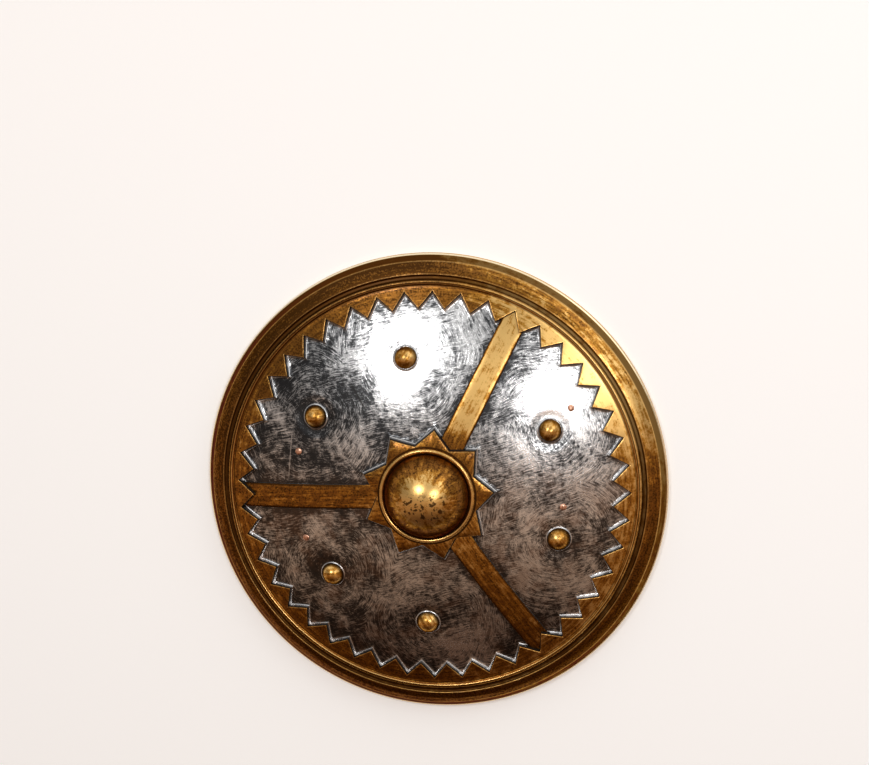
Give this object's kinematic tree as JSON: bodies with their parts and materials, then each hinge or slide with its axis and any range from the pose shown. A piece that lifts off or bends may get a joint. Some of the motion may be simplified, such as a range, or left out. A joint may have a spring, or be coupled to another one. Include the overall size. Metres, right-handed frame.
{
  "type": "costume round shield",
  "caption": "Domed round costume shield of thin moulded plastic: toothed rim, three spokes, star and ball boss, with webbing arm straps behind.",
  "frame": {"origin": "middle of the rim's lower edge, on the surface that the shield lies on", "axes": "+Z out of the decorated face, +Y towards the top of the shield as it is carried, +X to the right seen from the front"},
  "size_m": [0.4998, 0.4998, 0.1067],
  "materials": {
    "gold_and_silver_paint": "brushed aged gold and silver paint on moulded plastic",
    "black_webbing": "woven webbing",
    "copper_rivet": "polished copper plating"
  },
  "bodies": {
    "root": {"shield_shell": "gold_and_silver_paint", "forearm_strap": "black_webbing", "hand_strap": "black_webbing", "rivet_1": "copper_rivet", "rivet_2": "copper_rivet", "rivet_3": "copper_rivet", "rivet_4": "copper_rivet"}
  },
  "joints": []
}
